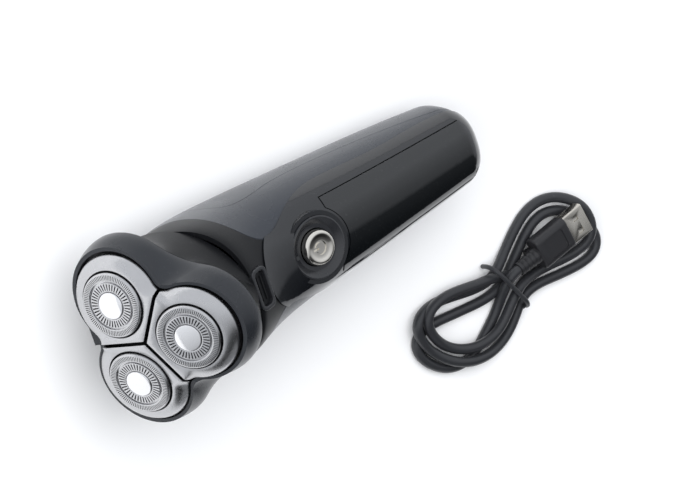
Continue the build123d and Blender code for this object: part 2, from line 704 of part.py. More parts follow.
# ---------------------------------------------------------------- head release
with BuildPart() as release_bezel:
    with BuildSketch(RELEASE.offset(-2.6)):
        RectangleRounded(RELEASE_WIDTH + 3.4, RELEASE_HEIGHT + 3.4, 2.5)
        RectangleRounded(RELEASE_WIDTH + 0.7, RELEASE_HEIGHT + 0.7, 1.6, mode=Mode.SUBTRACT)
    extrude(amount=3.6)
    fillet(release_bezel.faces().sort_by(Axis(RELEASE.origin, RELEASE.z_dir))[-1].edges(), 0.4)
finish_piece(release_bezel.part, "release_bezel")

with BuildPart() as release_button:
    with BuildSketch(RELEASE.offset(-5)):
        RectangleRounded(RELEASE_WIDTH, RELEASE_HEIGHT, 1.3)
    extrude(amount=4.7)
    with BuildSketch(RELEASE.offset(-0.3)):
        with Locations((0, 0.9), (0, -0.9)):
            Rectangle(RELEASE_WIDTH - 3, 0.6)
    extrude(amount=0.4)
finish_piece(release_button.part, "release_button")

# ---------------------------------------------------------------- charging cable, tied in a hank
PLUG_WAY = Vector(-0.18, 0.984, 0)
PLUG_SIDE = Vector(0.984, 0.18, 0)
PLUG = Plane(origin=(60.5, 76.9, 8.2), x_dir=PLUG_SIDE, z_dir=PLUG_WAY)
LOW_PLUG = Plane(origin=(63.1, 77.8, 2.5), x_dir=PLUG_SIDE, z_dir=PLUG_WAY)
HANK_HEIGHT = 2 * CORD_DIAMETER + 0.6

with BuildPart() as cable_hank:
    with BuildSketch(Plane.XY):
        with Locations(Location((71.5, 51.0, 0), (0, 0, 11))):
            Ellipse(18.5, 24)
        with Locations(Location((60.0, 98.5, 0), (0, 0, 11))):
            Ellipse(18.5, 25)
        with Locations(Location((65.5, 73.0, 0), (0, 0, 11))):
            Rectangle(20, 16)
        with Locations(Location((71.0, 49.5, 0), (0, 0, 11))):
            Ellipse(8.5, 15.5, mode=Mode.SUBTRACT)
        with Locations(Location((59.0, 96.8, 0), (0, 0, 11))):
            RectangleRounded(18.6, 36, 8, mode=Mode.SUBTRACT)
    extrude(amount=HANK_HEIGHT)
finish_piece(cable_hank.part, "cable_hank")

TIE_REACH = 11.5
TIE_ROOM = 0.35          # between the tie and the hank's top
TIE_SECTION = 1.0
TIE_WIDTH = 2.4
TIE = Plane(origin=(65.5, 72.0, 0), x_dir=(0.9, 0.44, 0), z_dir=(0.44, -0.9, 0))
with BuildPart() as cable_tie:
    with BuildSketch(TIE.offset(-TIE_WIDTH / 2)):
        with BuildLine():
            high = HANK_HEIGHT + TIE_ROOM
            Polyline((-TIE_REACH - TIE_SECTION, 0), (-TIE_REACH - TIE_SECTION, high + TIE_SECTION),
                     (TIE_REACH + TIE_SECTION, high + TIE_SECTION), (TIE_REACH + TIE_SECTION, 0),
                     (TIE_REACH, 0), (TIE_REACH, high), (-TIE_REACH, high), (-TIE_REACH, 0), close=True)
        make_face()
    extrude(amount=TIE_WIDTH)
finish_piece(cable_tie.part, "cable_tie")

with BuildPart() as usb_relief:
    with BuildSketch(PLUG):
        Circle(2.6)
    with BuildSketch(PLUG.offset(9)):
        Circle(3.4)
    loft()
finish_piece(usb_relief.part, "usb_relief")

with BuildPart() as usb_plug:
    with BuildSketch(PLUG.offset(9)):
        RectangleRounded(12.4, 7.2, 2.2)
    extrude(amount=15)
finish_piece(usb_plug.part, "usb_plug")

with BuildPart() as usb_shell:
    with BuildSketch(PLUG.offset(24)):
        RectangleRounded(11.4, 4.5, 0.5)
        RectangleRounded(10.8, 3.9, 0.3, mode=Mode.SUBTRACT)
    extrude(amount=9)
    with BuildSketch(PLUG.offset(24)):
        with Locations((0, 0.9)):
            Rectangle(10.8, 1.9)
    extrude(amount=8.4)
finish_piece(usb_shell.part, "usb_shell")

RELIEF_LENGTH = 8.0
with BuildPart() as small_relief:
    with BuildSketch(LOW_PLUG):
        Circle(CORD_DIAMETER / 2 + 0.1)
    with BuildSketch(LOW_PLUG.offset(RELIEF_LENGTH)):
        Circle(CORD_DIAMETER / 2 + 0.3)
    loft()
finish_piece(small_relief.part, "small_relief")

with BuildPart() as small_plug:
    with BuildSketch(LOW_PLUG.offset(RELIEF_LENGTH)):
        SlotOverall(8.4, 4.0)
    extrude(amount=10)
    with BuildSketch(LOW_PLUG.offset(RELIEF_LENGTH + 10)):
        SlotOverall(6.8, 3.6)
    extrude(amount=5)
finish_piece(small_plug.part, "small_plug")
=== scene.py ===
"""A rotary shaver on its back beside its tied charging lead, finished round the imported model."""

import json
import math

import bmesh
import bpy
from mathutils import Matrix, Vector


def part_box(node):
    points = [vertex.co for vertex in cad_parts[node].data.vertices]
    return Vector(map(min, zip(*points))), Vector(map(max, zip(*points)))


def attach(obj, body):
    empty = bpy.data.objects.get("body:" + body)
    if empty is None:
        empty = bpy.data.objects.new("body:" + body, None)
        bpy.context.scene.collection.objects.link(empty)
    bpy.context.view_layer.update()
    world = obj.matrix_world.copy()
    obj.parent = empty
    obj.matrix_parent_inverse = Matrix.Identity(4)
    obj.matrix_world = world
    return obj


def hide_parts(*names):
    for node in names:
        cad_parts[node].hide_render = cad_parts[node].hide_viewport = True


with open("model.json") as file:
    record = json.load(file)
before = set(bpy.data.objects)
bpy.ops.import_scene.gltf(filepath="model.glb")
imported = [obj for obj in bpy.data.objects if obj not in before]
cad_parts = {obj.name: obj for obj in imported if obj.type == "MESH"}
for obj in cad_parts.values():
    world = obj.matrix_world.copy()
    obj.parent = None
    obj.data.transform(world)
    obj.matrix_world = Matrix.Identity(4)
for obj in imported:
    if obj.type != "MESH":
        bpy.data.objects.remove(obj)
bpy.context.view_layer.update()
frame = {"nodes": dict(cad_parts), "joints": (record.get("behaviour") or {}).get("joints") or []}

bl_info = {
    "name": "Rotary shaver",
    "version": (1, 0, 0),
    "blender": (4, 5, 0),
    "location": "3D View > Sidebar > Shaver",
    "description": "Builds the visible pieces of a three-cutter shaver and its charging lead",
    "category": "Object",
}

MM = 0.001
FULL_TURN = 2 * math.pi
UNITS = ("a", "b", "c")
JOINTS = {joint["name"]: joint for joint in frame["joints"]}


# ------------------------------------------------------------------ places worked out from the frame
def upright_place(origin, up, forward):
    """A place with its Z along up and its Y as near forward as that allows."""
    up = Vector(up).normalized()
    forward = Vector(forward)
    forward = (forward - up * forward.dot(up)).normalized()
    side = forward.cross(up)
    place = Matrix((side, forward, up)).transposed().to_4x4()
    place.translation = Vector(origin)
    return place


FACE_CENTRES = {name: Vector(JOINTS[f"cutter_{name}_spin"]["pos_m"]) for name in UNITS}
FACE_NORMALS = {name: Vector(JOINTS[f"cutter_{name}_spin"]["axis"]) for name in UNITS}
HEAD_CENTRE = sum(FACE_CENTRES.values(), Vector()) / len(UNITS)
HEAD_NORMAL = sum(FACE_NORMALS.values(), Vector()).normalized()
LOBE_AT = (FACE_CENTRES["b"] - HEAD_CENTRE).length / MM
UNIT_PLACES = {
    name: upright_place(FACE_CENTRES[name], FACE_NORMALS[name], FACE_CENTRES[name] - HEAD_CENTRE)
    for name in UNITS
}
BUTTON_AXIS = Vector(JOINTS["power_press"]["axis"])
BUTTON_RING_MIDDLE = -1.3 * MM


def box_middle(node):
    low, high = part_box(node)
    return (low + high) / 2


BUTTON_PLACE = upright_place(
    box_middle("button_ring") - BUTTON_AXIS * BUTTON_RING_MIDDLE, BUTTON_AXIS, (0, 1, 0)
)


# ------------------------------------------------------------------ sizes and colours to change
class ShaverSizes(bpy.types.PropertyGroup):
    plate_bevel: bpy.props.FloatProperty(
        name="Plate bevel", description="Width of the bright bevel round a plate, in mm",
        default=3.3, min=0.5
    )
    plate_skin: bpy.props.FloatProperty(
        name="Plate skin", description="Thickness of a plate's sheet, in mm", default=0.9, min=0.2
    )
    slot_steps: bpy.props.IntProperty(
        name="Foil steps", description="Steps round a foil, five for each outer slot", default=480, min=120
    )
    cord_diameter: bpy.props.FloatProperty(
        name="Cord diameter", description="Diameter of the charging lead, in mm", default=3.8, min=1
    )
    cord_length: bpy.props.FloatProperty(
        name="Cord length", description="Length of the charging lead", default=0.51, unit="LENGTH"
    )


class ShaverColours(bpy.types.PropertyGroup):
    shell: bpy.props.FloatVectorProperty(
        name="Rim", description="Gloss black of the head rim",
        subtype="COLOR", default=(0.016, 0.018, 0.022)
    )
    panel: bpy.props.FloatVectorProperty(
        name="Panel", description="Mirror black of the front panel",
        subtype="COLOR", default=(0.006, 0.007, 0.009)
    )
    neck: bpy.props.FloatVectorProperty(
        name="Neck", description="Satin black of the neck", subtype="COLOR", default=(0.006, 0.0064, 0.0075)
    )
    plate: bpy.props.FloatVectorProperty(
        name="Plates", description="Satin metal of the plates", subtype="COLOR", default=(0.56, 0.56, 0.57)
    )
    cord: bpy.props.FloatVectorProperty(
        name="Cord", description="Soft black of the lead", subtype="COLOR", default=(0.022, 0.023, 0.026)
    )


def sizes():
    return bpy.context.scene.shaver_sizes


def colours():
    return bpy.context.scene.shaver_colours


# ------------------------------------------------------------------ modelling helpers
def deselect_all():
    if bpy.context.object and bpy.context.object.mode != "OBJECT":
        bpy.ops.object.mode_set(mode="OBJECT")
    bpy.ops.object.select_all(action="DESELECT")


def take(piece):
    """Make one object the only selected one, and the active one."""
    deselect_all()
    piece.select_set(True)
    bpy.context.view_layer.objects.active = piece


def begin_edit(piece):
    take(piece)
    bpy.ops.object.mode_set(mode="EDIT")
    bpy.ops.mesh.select_all(action="SELECT")


def end_edit():
    bpy.ops.object.mode_set(mode="OBJECT")


def outline_piece(name, points, closed=True):
    """An object holding only the edges of an outline, in mm."""
    count = len(points)
    edges = [(step, (step + 1) % count) for step in range(count if closed else count - 1)]
    mesh = bpy.data.meshes.new(name)
    mesh.from_pydata([Vector(point) * MM for point in points], edges, [])
    piece = bpy.data.objects.new(name, mesh)
    bpy.context.scene.collection.objects.link(piece)
    return piece


def settle(piece, place=Matrix.Identity(4)):
    """Put a piece at its place and leave its object at the origin."""
    bpy.context.view_layer.update()
    piece.matrix_world = place @ piece.matrix_world
    bpy.context.view_layer.update()
    take(piece)
    bpy.ops.object.transform_apply(location=True, rotation=True, scale=True)
    return piece


def spun(name, outline, steps, closed=True):
    """A shape turned about Z from (radius, height) points in mm."""
    piece = outline_piece(name, [(radius, 0, height) for radius, height in outline], closed)
    begin_edit(piece)
    bpy.ops.mesh.spin(steps=steps, angle=FULL_TURN, center=(0, 0, 0), axis=(0, 0, 1))
    bpy.ops.mesh.select_all(action="SELECT")
    bpy.ops.mesh.remove_doubles(threshold=0.002 * MM)
    bpy.ops.mesh.normals_make_consistent(inside=False)
    end_edit()
    return piece


def smooth(piece, degrees=35):
    take(piece)
    bpy.ops.object.shade_smooth_by_angle(angle=math.radians(degrees))
    return piece


def apply_modifier(piece, kind, **values):
    take(piece)
    modifier = piece.modifiers.new(kind.title(), kind)
    for key, value in values.items():
        setattr(modifier, key, value)
    bpy.ops.object.modifier_apply(modifier=modifier.name)


def bevelled(piece, width, segments=2, degrees=40):
    limit = math.radians(degrees)
    apply_modifier(piece, "BEVEL", width=width * MM, segments=segments, limit_method="ANGLE", angle_limit=limit)
    return piece


def cut_away(piece, cutter):
    """Take the cutter's space out of a piece and remove the cutter."""
    apply_modifier(piece, "BOOLEAN", operation="DIFFERENCE", object=cutter, solver="EXACT")
    bpy.data.objects.remove(cutter)


def joined(name, pieces):
    deselect_all()
    for piece in pieces:
        piece.select_set(True)
    bpy.context.view_layer.objects.active = pieces[0]
    bpy.ops.object.join()
    pieces[0].name = name
    return pieces[0]


def block(name, size, middle=(0, 0, 0)):
    """A box of a size in mm, at a place in mm."""
    deselect_all()
    bpy.ops.mesh.primitive_cube_add(size=1, location=Vector(middle) * MM)
    piece = bpy.context.object
    piece.name = name
    piece.scale = Vector(size) * MM
    return settle(piece)


def hand_over(piece, body, slot, material, *nodes):
    """Give a finished piece its body and material, in place of its CAD nodes."""
    piece.data.materials.clear()
    piece.data.materials.append(material)
    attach(piece, body)
    if nodes:
        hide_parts(*nodes)
    return piece


# ------------------------------------------------------------------ node groups
def new_group(name, inputs, outputs):
    group = bpy.data.node_groups.new(name, "ShaderNodeTree")
    for label, kind, default in inputs:
        socket = group.interface.new_socket(label, in_out="INPUT", socket_type=kind)
        if default is not None:
            socket.default_value = default
    for label, kind in outputs:
        group.interface.new_socket(label, in_out="OUTPUT", socket_type=kind)
    return group, group.nodes.new("NodeGroupInput"), group.nodes.new("NodeGroupOutput")


def math_node(tree, operation, first, second=None, third=None):
    node = tree.nodes.new("ShaderNodeMath")
    node.operation = operation
    for socket, value in zip(node.inputs, (first, second, third)):
        if isinstance(value, bpy.types.NodeSocket):
            tree.links.new(value, socket)
        elif value is not None:
            socket.default_value = value
    return node.outputs["Value"]


def noise_node(tree, vector, scale, detail, roughness=0.5):
    node = tree.nodes.new("ShaderNodeTexNoise")
    tree.links.new(vector, node.inputs["Vector"])
    if isinstance(scale, bpy.types.NodeSocket):
        tree.links.new(scale, node.inputs["Scale"])
    else:
        node.inputs["Scale"].default_value = scale
    node.inputs["Detail"].default_value = detail
    node.inputs["Roughness"].default_value = roughness
    return node.outputs["Fac"]


def grain_group():
    """Fine moulded or blasted grain: a height round 0.5."""
    if "Fine Grain" in bpy.data.node_groups:
        return bpy.data.node_groups["Fine Grain"]
    group, given, result = new_group(
        "Fine Grain",
        [("Vector", "NodeSocketVector", None), ("Scale", "NodeSocketFloat", 3000.0)],
        [("Height", "NodeSocketFloat")],
    )
    grain = noise_node(group, given.outputs["Vector"], given.outputs["Scale"], 3.0, 0.6)
    broad_scale = math_node(group, "MULTIPLY", given.outputs["Scale"], 0.12)
    broad = noise_node(group, given.outputs["Vector"], broad_scale, 2.0)
    grain_share = math_node(group, "MULTIPLY", grain, 0.8)
    broad_share = math_node(group, "MULTIPLY", broad, 0.2)
    group.links.new(math_node(group, "ADD", grain_share, broad_share), result.inputs["Height"])
    return group


def handling_group():
    """Faint smears and dust from use: a roughness between two values, and a dust mask."""
    if "Handling Marks" in bpy.data.node_groups:
        return bpy.data.node_groups["Handling Marks"]
    group, given, result = new_group(
        "Handling Marks",
        [
            ("Vector", "NodeSocketVector", None),
            ("Clean", "NodeSocketFloat", 0.1),
            ("Smeared", "NodeSocketFloat", 0.2),
            ("Smear Scale", "NodeSocketFloat", 60.0),
        ],
        [("Roughness", "NodeSocketFloat"), ("Dust", "NodeSocketFloat")],
    )
    smear = noise_node(group, given.outputs["Vector"], given.outputs["Smear Scale"], 4.0, 0.55)
    spread = group.nodes.new("ShaderNodeMapRange")
    spread.inputs["From Min"].default_value = 0.35
    spread.inputs["From Max"].default_value = 0.72
    group.links.new(smear, spread.inputs["Value"])
    group.links.new(given.outputs["Clean"], spread.inputs["To Min"])
    group.links.new(given.outputs["Smeared"], spread.inputs["To Max"])
    group.links.new(spread.outputs["Result"], result.inputs["Roughness"])
    specks = noise_node(group, given.outputs["Vector"], 900.0, 2.0)
    dust = group.nodes.new("ShaderNodeMapRange")
    dust.inputs["From Min"].default_value = 0.66
    dust.inputs["From Max"].default_value = 0.74
    group.links.new(specks, dust.inputs["Value"])
    patches = noise_node(group, given.outputs["Vector"], 45.0, 2.0)
    group.links.new(math_node(group, "MULTIPLY", dust.outputs["Result"], patches), result.inputs["Dust"])
    return group


def turned_group():
    """Fine rings left by turning, round the Z axis of the vector that comes in."""
    if "Turned Rings" in bpy.data.node_groups:
        return bpy.data.node_groups["Turned Rings"]
    group, given, result = new_group(
        "Turned Rings",
        [("Vector", "NodeSocketVector", None), ("Pitch", "NodeSocketFloat", 0.00012)],
        [("Height", "NodeSocketFloat")],
    )
    split = group.nodes.new("ShaderNodeSeparateXYZ")
    group.links.new(given.outputs["Vector"], split.inputs["Vector"])
    squares = [math_node(group, "POWER", split.outputs[axis], 2.0) for axis in "XY"]
    radius = math_node(group, "SQRT", math_node(group, "ADD", *squares))
    ring = group.nodes.new("ShaderNodeCombineXYZ")
    group.links.new(math_node(group, "DIVIDE", radius, given.outputs["Pitch"]), ring.inputs["X"])
    group.links.new(math_node(group, "MULTIPLY", split.outputs["Z"], 400.0), ring.inputs["Y"])
    lines = noise_node(group, ring.outputs["Vector"], 1.0, 2.0)
    group.links.new(lines, result.inputs["Height"])
    return group


# ------------------------------------------------------------------ materials
def placed_group(tree, group, **values):
    node = tree.nodes.new("ShaderNodeGroup")
    node.node_tree = group
    for key, value in values.items():
        node.inputs[key.replace("_", " ")].default_value = value
    return node


def start_material(name):
    material = bpy.data.materials.new(name)
    material.use_nodes = True
    tree = material.node_tree
    shader = tree.nodes["Principled BSDF"]
    where = tree.nodes.new("ShaderNodeTexCoord")
    return material, tree, shader, where.outputs["Object"]


def mixed_colour(tree, mask, plain, changed):
    mix = tree.nodes.new("ShaderNodeMix")
    mix.data_type = "RGBA"
    mix.inputs["A"].default_value = (*plain, 1)
    mix.inputs["B"].default_value = (*changed, 1)
    tree.links.new(mask, mix.inputs["Factor"])
    return mix.outputs["Result"]


def bumped(tree, height, depth, strength=1.0):
    bump = tree.nodes.new("ShaderNodeBump")
    bump.inputs["Strength"].default_value = strength
    bump.inputs["Distance"].default_value = depth
    tree.links.new(height, bump.inputs["Height"])
    return bump.outputs["Normal"]


def moulded(
    name, colour, clean, smeared, grain=2500.0, depth=0.000004, coat=0.0, coat_roughness=0.05, dust=0.02, shine=0.5
):
    """Plastic with its moulding grain, faint smears and a little dust."""
    if name in bpy.data.materials:
        return bpy.data.materials[name]
    material, tree, shader, where = start_material(name)
    marks = placed_group(tree, handling_group(), Clean=clean, Smeared=smeared)
    fine = placed_group(tree, grain_group(), Scale=grain)
    for group in (marks, fine):
        tree.links.new(where, group.inputs["Vector"])
    dusty = tuple(min(1.0, channel + dust) for channel in colour)
    tree.links.new(mixed_colour(tree, marks.outputs["Dust"], colour, dusty), shader.inputs["Base Color"])
    tree.links.new(marks.outputs["Roughness"], shader.inputs["Roughness"])
    tree.links.new(bumped(tree, fine.outputs["Height"], depth), shader.inputs["Normal"])
    shader.inputs["Specular IOR Level"].default_value = shine
    shader.inputs["Coat Weight"].default_value = coat
    shader.inputs["Coat Roughness"].default_value = coat_roughness
    return material


def metal(name, colour, clean, smeared, grain=5000.0, depth=0.000003):
    """Blasted, polished or plated metal."""
    if name in bpy.data.materials:
        return bpy.data.materials[name]
    material, tree, shader, where = start_material(name)
    marks = placed_group(tree, handling_group(), Clean=clean, Smeared=smeared, Smear_Scale=120.0)
    fine = placed_group(tree, grain_group(), Scale=grain)
    for group in (marks, fine):
        tree.links.new(where, group.inputs["Vector"])
    darker = tuple(channel * 0.86 for channel in colour)
    tree.links.new(mixed_colour(tree, fine.outputs["Height"], colour, darker), shader.inputs["Base Color"])
    tree.links.new(marks.outputs["Roughness"], shader.inputs["Roughness"])
    tree.links.new(bumped(tree, fine.outputs["Height"], depth), shader.inputs["Normal"])
    shader.inputs["Metallic"].default_value = 1.0
    return material


def turned_metal(name, colour, clean, smeared, place, pitch=0.00012, depth=0.000004):
    """Metal turned on a lathe about a place's Z axis."""
    if name in bpy.data.materials:
        return bpy.data.materials[name]
    material, tree, shader, where = start_material(name)
    centred = tree.nodes.new("ShaderNodeMapping")
    inverse = place.inverted()
    centred.inputs["Rotation"].default_value = inverse.to_euler()
    centred.inputs["Location"].default_value = inverse.translation
    tree.links.new(where, centred.inputs["Vector"])
    rings = placed_group(tree, turned_group(), Pitch=pitch)
    tree.links.new(centred.outputs["Vector"], rings.inputs["Vector"])
    marks = placed_group(tree, handling_group(), Clean=clean, Smeared=smeared, Smear_Scale=150.0)
    tree.links.new(where, marks.inputs["Vector"])
    darker = tuple(channel * 0.8 for channel in colour)
    tree.links.new(mixed_colour(tree, rings.outputs["Height"], colour, darker), shader.inputs["Base Color"])
    tree.links.new(marks.outputs["Roughness"], shader.inputs["Roughness"])
    tree.links.new(bumped(tree, rings.outputs["Height"], depth), shader.inputs["Normal"])
    shader.inputs["Metallic"].default_value = 1.0
    return material


def band_material():
    return moulded("Band satin", (0.03, 0.034, 0.042), 0.24, 0.3, grain=3200.0, depth=0.000004, shine=0.35)


def rim_material():
    return moulded("Head rim gloss", tuple(colours().shell), 0.24, 0.32, shine=0.4)


def panel_material():
    colour = tuple(colours().panel)
    return moulded("Panel mirror", colour, 0.05, 0.09, depth=0.0000008, coat=0.5, coat_roughness=0.02)


def strip_material():
    colour = (0.004, 0.005, 0.006)
    return moulded("Strip mirror", colour, 0.04, 0.07, depth=0.0000005, coat=0.6, coat_roughness=0.02)


def neck_material():
    return moulded("Neck satin", tuple(colours().neck), 0.34, 0.42, grain=4200.0, depth=0.000007, shine=0.2)


def dish_material():
    return moulded("Dish satin", (0.02, 0.021, 0.024), 0.22, 0.3, grain=3600.0, depth=0.000004)


def inner_material():
    return moulded("Inner moulding", (0.018, 0.018, 0.02), 0.42, 0.55, grain=1800.0, depth=0.00001)


def plate_material():
    return metal("Satin plate", tuple(colours().plate), 0.25, 0.32, grain=6500.0, depth=0.000003)


def chrome_material():
    return metal("Button chrome", (0.8, 0.77, 0.71), 0.05, 0.12, grain=800.0, depth=0.0000006)


def steel_material():
    return metal("Plain steel", (0.5, 0.5, 0.52), 0.24, 0.36, grain=2600.0, depth=0.000004)


def plug_metal_material():
    return metal("Plug shell nickel", (0.66, 0.63, 0.57), 0.2, 0.32, grain=2200.0, depth=0.000004)


def cord_material():
    return moulded("Lead sleeve", tuple(colours().cord), 0.34, 0.44, grain=2600.0, depth=0.000008)


def plug_material():
    return moulded("Plug moulding", (0.014, 0.014, 0.016), 0.4, 0.5, grain=2400.0, depth=0.000014)


# ------------------------------------------------------------------ stage
CAMERA_AT = (-0.49022, -0.68341, 1.33045)
CAMERA_RIGHT = Vector((0.30629, 0.78886, 0.53282))
CAMERA_UP = Vector((-0.89581, 0.42820, -0.11902))
CAMERA_BACK = Vector((-0.32205, -0.44085, 0.83782))
CAMERA_LENS = 237.9
SKY_DARK_WAY = Vector((1.0, 0.1, 0.25)).normalized()
SKY_STRENGTH = 0.95
SKY_TINT = (1.0, 1.03, 1.08)
FLOOR_SIZE = 8
# how far towards the dark side, and how bright there
SKY_STOPS = ((0.5, 0.96), (0.7, 0.62), (0.775, 0.4), (0.8, 0.1), (0.93, 0.01), (0.965, 0.3))

# name, place, aim, width, height, watts
LAMPS = (
    ("High softbox", (-0.75, -0.4, 1.7), (0.02, 0.0, 0.02), 1.8, 1.8, 27.0),
    ("Head softbox", (-0.2, -1.6, 0.9), (0, -0.06, 0.04), 1.2, 0.9, 8.0),
)


def add_camera():
    deselect_all()
    bpy.ops.object.camera_add(location=CAMERA_AT)
    camera = bpy.context.object
    camera.name = "Camera"
    turn = Matrix((CAMERA_RIGHT, CAMERA_UP, CAMERA_BACK)).transposed()
    camera.rotation_euler = turn.to_euler()
    camera.data.lens = CAMERA_LENS
    camera.data.sensor_width = 36
    camera.data.clip_start = 0.05
    bpy.context.scene.camera = camera


def add_lamp(name, at, aim, width, height, watts):
    deselect_all()
    bpy.ops.object.light_add(type="AREA", location=at)
    lamp = bpy.context.object
    lamp.name = name
    lamp.rotation_euler = (Vector(aim) - Vector(at)).to_track_quat("-Z", "Y").to_euler()
    lamp.data.shape = "RECTANGLE"
    lamp.data.size = width
    lamp.data.size_y = height
    lamp.data.energy = watts
    lamp.visible_glossy = False


def add_floor():
    deselect_all()
    bpy.ops.mesh.primitive_plane_add(size=FLOOR_SIZE)
    floor = bpy.context.object
    floor.name = "Floor"
    material, tree, shader, where = start_material("Pale floor")
    paper = noise_node(tree, where, 3.0, 2.0)
    tone = mixed_colour(tree, paper, (0.96, 0.96, 0.965), (0.97, 0.97, 0.97))
    tree.links.new(tone, shader.inputs["Base Color"])
    shader.inputs["Roughness"].default_value = 0.75
    floor.data.materials.append(material)


def add_sky():
    """A white studio with a dark side, which the gloss shows along the shaver's right."""
    world = bpy.data.worlds.new("Studio")
    bpy.context.scene.world = world
    world.use_nodes = True
    tree = world.node_tree
    backdrop = tree.nodes["Background"]
    where = tree.nodes.new("ShaderNodeTexCoord")
    facing = tree.nodes.new("ShaderNodeVectorMath")
    facing.operation = "DOT_PRODUCT"
    facing.inputs[1].default_value = SKY_DARK_WAY
    tree.links.new(where.outputs["Generated"], facing.inputs[0])
    ramp = tree.nodes.new("ShaderNodeValToRGB")
    stops = ramp.color_ramp.elements
    while len(stops) < len(SKY_STOPS):
        stops.new(0.5)
    for stop, (position, level) in zip(stops, SKY_STOPS):
        stop.position = position
        stop.color = (*(level * tint for tint in SKY_TINT), 1)
    tree.links.new(math_node(tree, "MULTIPLY_ADD", facing.outputs["Value"], 0.5, 0.5), ramp.inputs["Fac"])
    tree.links.new(ramp.outputs["Color"], backdrop.inputs["Color"])
    backdrop.inputs["Strength"].default_value = SKY_STRENGTH
    bpy.context.scene.view_settings.view_transform = "Standard"


class SHAVER_OT_stage(bpy.types.Operator):
    """Add the floor, the lights and the camera"""

    bl_idname = "shaver.stage"
    bl_label = "Stage"

    def execute(self, context):
        add_camera()
        add_floor()
        add_sky()
        for lamp in LAMPS:
            add_lamp(*lamp)
        return {"FINISHED"}


# ------------------------------------------------------------------ charging lead
# The lead leaves its large plug, goes three times round the near loop and twice round the far one, and
# ends under the large plug in the small one. Points in mm.
FIRST_NEAR_TURN = [
    (60.5, 76.9, 8.2), (61.1, 73.6, 8.2), (63.7, 70.9, 6.8), (68.0, 69.2, 3.9), (72.0, 66.8, 2.1),
    (75.3, 63.3, 1.9), (78.4, 59.1, 1.9), (81.2, 55.3, 1.9), (83.6, 50.9, 1.9), (84.6, 45.3, 1.9),
    (83.2, 39.6, 1.9), (79.6, 34.6, 1.9), (75.1, 31.2, 1.9), (70.3, 30.2, 1.9), (66.9, 32.1, 1.9),
    (65.6, 35.7, 1.9), (65.2, 41.0, 1.9), (65.7, 46.8, 1.9), (66.2, 53.1, 1.9), (66.7, 59.4, 1.9),
    (66.6, 65.2, 1.9), (65.4, 70.4, 1.9),
]
FIRST_FAR_TURN = [
    (63.0, 74.8, 1.9), (59.8, 78.7, 1.9), (56.3, 82.7, 1.9), (53.0, 86.7, 1.9), (50.0, 91.2, 1.9),
    (48.4, 96.4, 1.9), (49.4, 102.4, 1.9), (52.9, 108.2, 1.9), (58.0, 112.6, 1.9), (63.3, 115.2, 1.9),
    (67.8, 115.5, 1.9), (71.2, 113.2, 1.9), (72.8, 108.8, 1.9), (73.0, 102.4, 1.9), (72.5, 95.5, 1.9),
    (71.8, 88.8, 1.9), (71.8, 83.2, 1.9),
]
SECOND_NEAR_TURN = [
    (73.0, 79.0, 1.9), (75.4, 75.8, 1.9), (78.8, 72.6, 1.9), (82.4, 68.4, 1.9), (84.8, 63.0, 2.6),
    (85.4, 56.4, 4.4), (84.4, 49.2, 5.7), (81.8, 42.9, 5.7), (77.8, 37.9, 4.2), (72.4, 33.9, 3.6),
    (66.2, 31.4, 4.8), (61.6, 31.4, 5.7), (59.0, 34.6, 4.6), (58.1, 40.4, 3.0), (58.9, 46.9, 2.0),
    (60.1, 53.4, 1.9), (61.2, 59.4, 1.9), (61.0, 64.6, 3.0), (59.6, 68.4, 3.8),
]
SECOND_FAR_TURN = [
    (57.4, 72.0, 3.6), (54.9, 75.7, 2.6), (52.0, 79.6, 2.0), (48.4, 84.2, 1.9), (44.9, 89.7, 1.9),
    (43.3, 96.2, 1.9), (44.2, 102.6, 2.2), (47.2, 108.0, 3.8), (51.8, 111.9, 5.5), (57.4, 113.4, 5.8),
    (62.4, 112.5, 5.8), (65.9, 109.4, 4.8), (67.5, 104.4, 3.2), (67.7, 98.0, 2.2), (67.2, 91.2, 2.0),
    (67.0, 84.8, 2.8), (67.2, 79.0, 4.6),
]
LAST_NEAR_TURN = [
    (68.6, 74.8, 5.8), (71.3, 71.4, 5.8), (74.8, 67.7, 5.6), (77.9, 63.4, 5.7), (79.8, 58.0, 5.8),
    (80.0, 51.7, 5.6), (78.3, 45.9, 4.4), (74.6, 40.8, 3.8), (69.1, 37.0, 4.8), (63.6, 35.5, 5.8),
    (59.4, 37.1, 6.2), (57.2, 41.4, 6.2), (56.7, 47.2, 5.9), (57.5, 53.6, 5.8), (58.6, 59.8, 5.8),
    (59.4, 65.6, 5.4), (60.9, 70.2, 4.5), (62.4, 74.2, 3.2), (63.1, 77.8, 2.5),
]
LEAD_ROUTE = FIRST_NEAR_TURN + FIRST_FAR_TURN + SECOND_NEAR_TURN + SECOND_FAR_TURN + LAST_NEAR_TURN
BIG_PLUG_START = Vector((60.5, 76.9, 8.2))
BIG_PLUG_WAY = Vector((-0.18, 0.984, 0))
RELIEF_LENGTH = 9.0
RELIEF_RIBS = 5
RELIEF_START_RADIUS = 2.35
RELIEF_GROWTH = 0.75
RELIEF_END_RADIUS = 3.2
RELIEF_STEPS = 48
# a rib's points: how far out from the sleeve, and how far along from where the rib starts
RIB_OUTLINE = ((0.0, 0.05), (0.12, 0.9), (-0.25, 1.05), (-0.25, 1.4))

